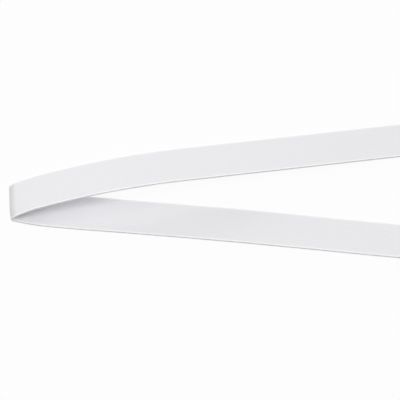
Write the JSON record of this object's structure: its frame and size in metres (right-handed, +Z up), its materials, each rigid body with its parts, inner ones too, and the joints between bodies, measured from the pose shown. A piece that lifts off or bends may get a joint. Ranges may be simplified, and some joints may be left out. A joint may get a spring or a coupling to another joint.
{
  "type": "folded length of elastic tape",
  "caption": "Cut length of plain white woven elastic tape, bent back on itself in a soft askew crease: the lower run lies flat and the upper run arches away at an angle.",
  "frame": {"origin": "under the middle of the whole length's box, on the surface that the tape lies on", "axes": "+X along the flat lower run, from the crease to its cut end; +Y from the lower run towards the upper run's cut end; +Z up"},
  "size_m": [0.204, 0.0882, 0.0116],
  "materials": {
    "elastic": "matt white woven elastic"
  },
  "bodies": {
    "root": {"elastic_tape": "elastic"}
  },
  "joints": []
}
